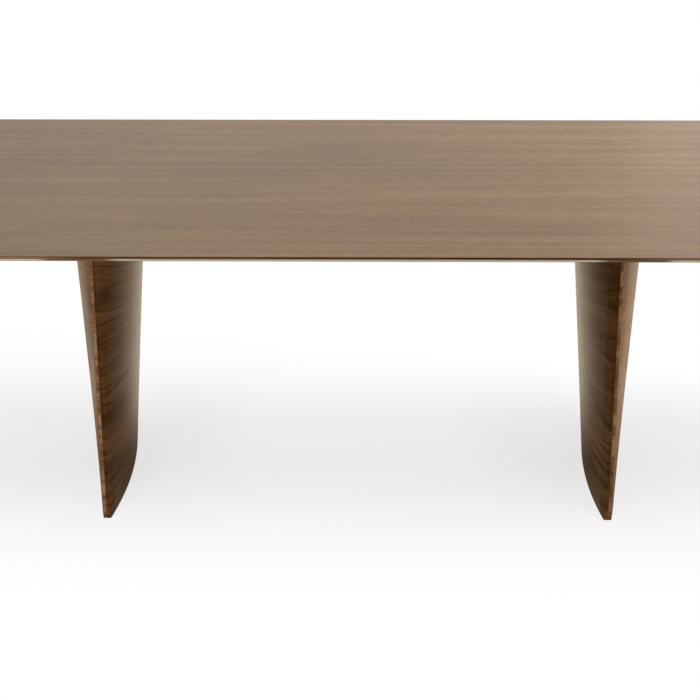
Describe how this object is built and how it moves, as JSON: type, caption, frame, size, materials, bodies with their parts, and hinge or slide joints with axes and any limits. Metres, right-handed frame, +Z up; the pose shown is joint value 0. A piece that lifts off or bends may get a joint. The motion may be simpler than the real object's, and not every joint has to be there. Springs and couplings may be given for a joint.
{
  "type": "dining table",
  "caption": "Dining table: thin-edged veneered rectangular top with an under-bevel, carried by tapering lens-plan panel legs on levelling glides.",
  "frame": {"origin": "on the floor under the middle of the top", "axes": "+X along the top, +Y across it towards the rear, +Z up"},
  "size_m": [2.4, 1.05, 0.75],
  "materials": {
    "top_veneer": "satin lacquered walnut veneer",
    "backing_veneer": "matt lacquered walnut veneer",
    "core_board": "bare fibreboard",
    "walnut_lipping": "satin lacquered solid walnut",
    "leg_veneer": "satin lacquered walnut veneer on bent plywood",
    "nose_walnut": "satin lacquered solid walnut",
    "plywood": "bare birch plywood",
    "painted_steel": "black powder coat",
    "zinc_steel": "bright zinc plate",
    "insert_brass": "plain machined brass",
    "pad_plastic": "black moulded nylon"
  },
  "bodies": {
    "table": {"top_face_veneer": "top_veneer", "underside_veneer": "backing_veneer", "top_core": "core_board", "stiffener_screws": "zinc_steel", "front_lipping": "walnut_lipping", "rear_lipping": "walnut_lipping", "left_lipping": "walnut_lipping", "right_lipping": "walnut_lipping", "front_stiffener": "painted_steel", "rear_stiffener": "painted_steel", "left_inner_shell": "leg_veneer", "left_outer_shell": "leg_veneer", "left_front_nose": "nose_walnut", "left_rear_nose": "nose_walnut", "left_top_rib": "plywood", "left_middle_rib": "plywood", "left_base_rib": "plywood", "left_mounting_plate": "painted_steel", "left_mounting_bolts": "zinc_steel", "left_leg_screws": "zinc_steel", "left_threaded_inserts": "insert_brass", "left_glide_sleeves": "insert_brass", "right_inner_shell": "leg_veneer", "right_outer_shell": "leg_veneer", "right_front_nose": "nose_walnut", "right_rear_nose": "nose_walnut", "right_top_rib": "plywood", "right_middle_rib": "plywood", "right_base_rib": "plywood", "right_mounting_plate": "painted_steel", "right_mounting_bolts": "zinc_steel", "right_leg_screws": "zinc_steel", "right_threaded_inserts": "insert_brass", "right_glide_sleeves": "insert_brass"},
    "left_front_pad": {"left_front_glide_pad": "pad_plastic"},
    "left_front_stem": {"left_front_glide_stem": "zinc_steel"},
    "left_rear_pad": {"left_rear_glide_pad": "pad_plastic"},
    "left_rear_stem": {"left_rear_glide_stem": "zinc_steel"},
    "right_front_pad": {"right_front_glide_pad": "pad_plastic"},
    "right_front_stem": {"right_front_glide_stem": "zinc_steel"},
    "right_rear_pad": {"right_rear_glide_pad": "pad_plastic"},
    "right_rear_stem": {"right_rear_glide_stem": "zinc_steel"}
  },
  "joints": [
    {"name": "left_front_pad_slide", "type": "slide", "parent": "table", "child": "left_front_pad", "axis": [0, 0, -1], "range_m": [0, 0.01]},
    {"name": "left_front_stem_turn", "type": "hinge", "parent": "left_front_pad", "child": "left_front_stem", "pos_m": [-0.5985, -0.2, 0.02], "axis": [0, 0, -1], "range_deg": [0, 2880]},
    {"name": "left_rear_pad_slide", "type": "slide", "parent": "table", "child": "left_rear_pad", "axis": [0, 0, -1], "range_m": [0, 0.01]},
    {"name": "left_rear_stem_turn", "type": "hinge", "parent": "left_rear_pad", "child": "left_rear_stem", "pos_m": [-0.5985, 0.2, 0.02], "axis": [0, 0, -1], "range_deg": [0, 2880]},
    {"name": "right_front_pad_slide", "type": "slide", "parent": "table", "child": "right_front_pad", "axis": [0, 0, -1], "range_m": [0, 0.01]},
    {"name": "right_front_stem_turn", "type": "hinge", "parent": "right_front_pad", "child": "right_front_stem", "pos_m": [0.5985, -0.2, 0.02], "axis": [0, 0, -1], "range_deg": [0, 2880]},
    {"name": "right_rear_pad_slide", "type": "slide", "parent": "table", "child": "right_rear_pad", "axis": [0, 0, -1], "range_m": [0, 0.01]},
    {"name": "right_rear_stem_turn", "type": "hinge", "parent": "right_rear_pad", "child": "right_rear_stem", "pos_m": [0.5985, 0.2, 0.02], "axis": [0, 0, -1], "range_deg": [0, 2880]}
  ],
  "couplings": [
    {"joint": "left_front_pad_slide", "follows": "left_front_stem_turn", "m_per_rad": 0.00019894},
    {"joint": "left_rear_pad_slide", "follows": "left_rear_stem_turn", "m_per_rad": 0.00019894},
    {"joint": "right_front_pad_slide", "follows": "right_front_stem_turn", "m_per_rad": 0.00019894},
    {"joint": "right_rear_pad_slide", "follows": "right_rear_stem_turn", "m_per_rad": 0.00019894}
  ]
}
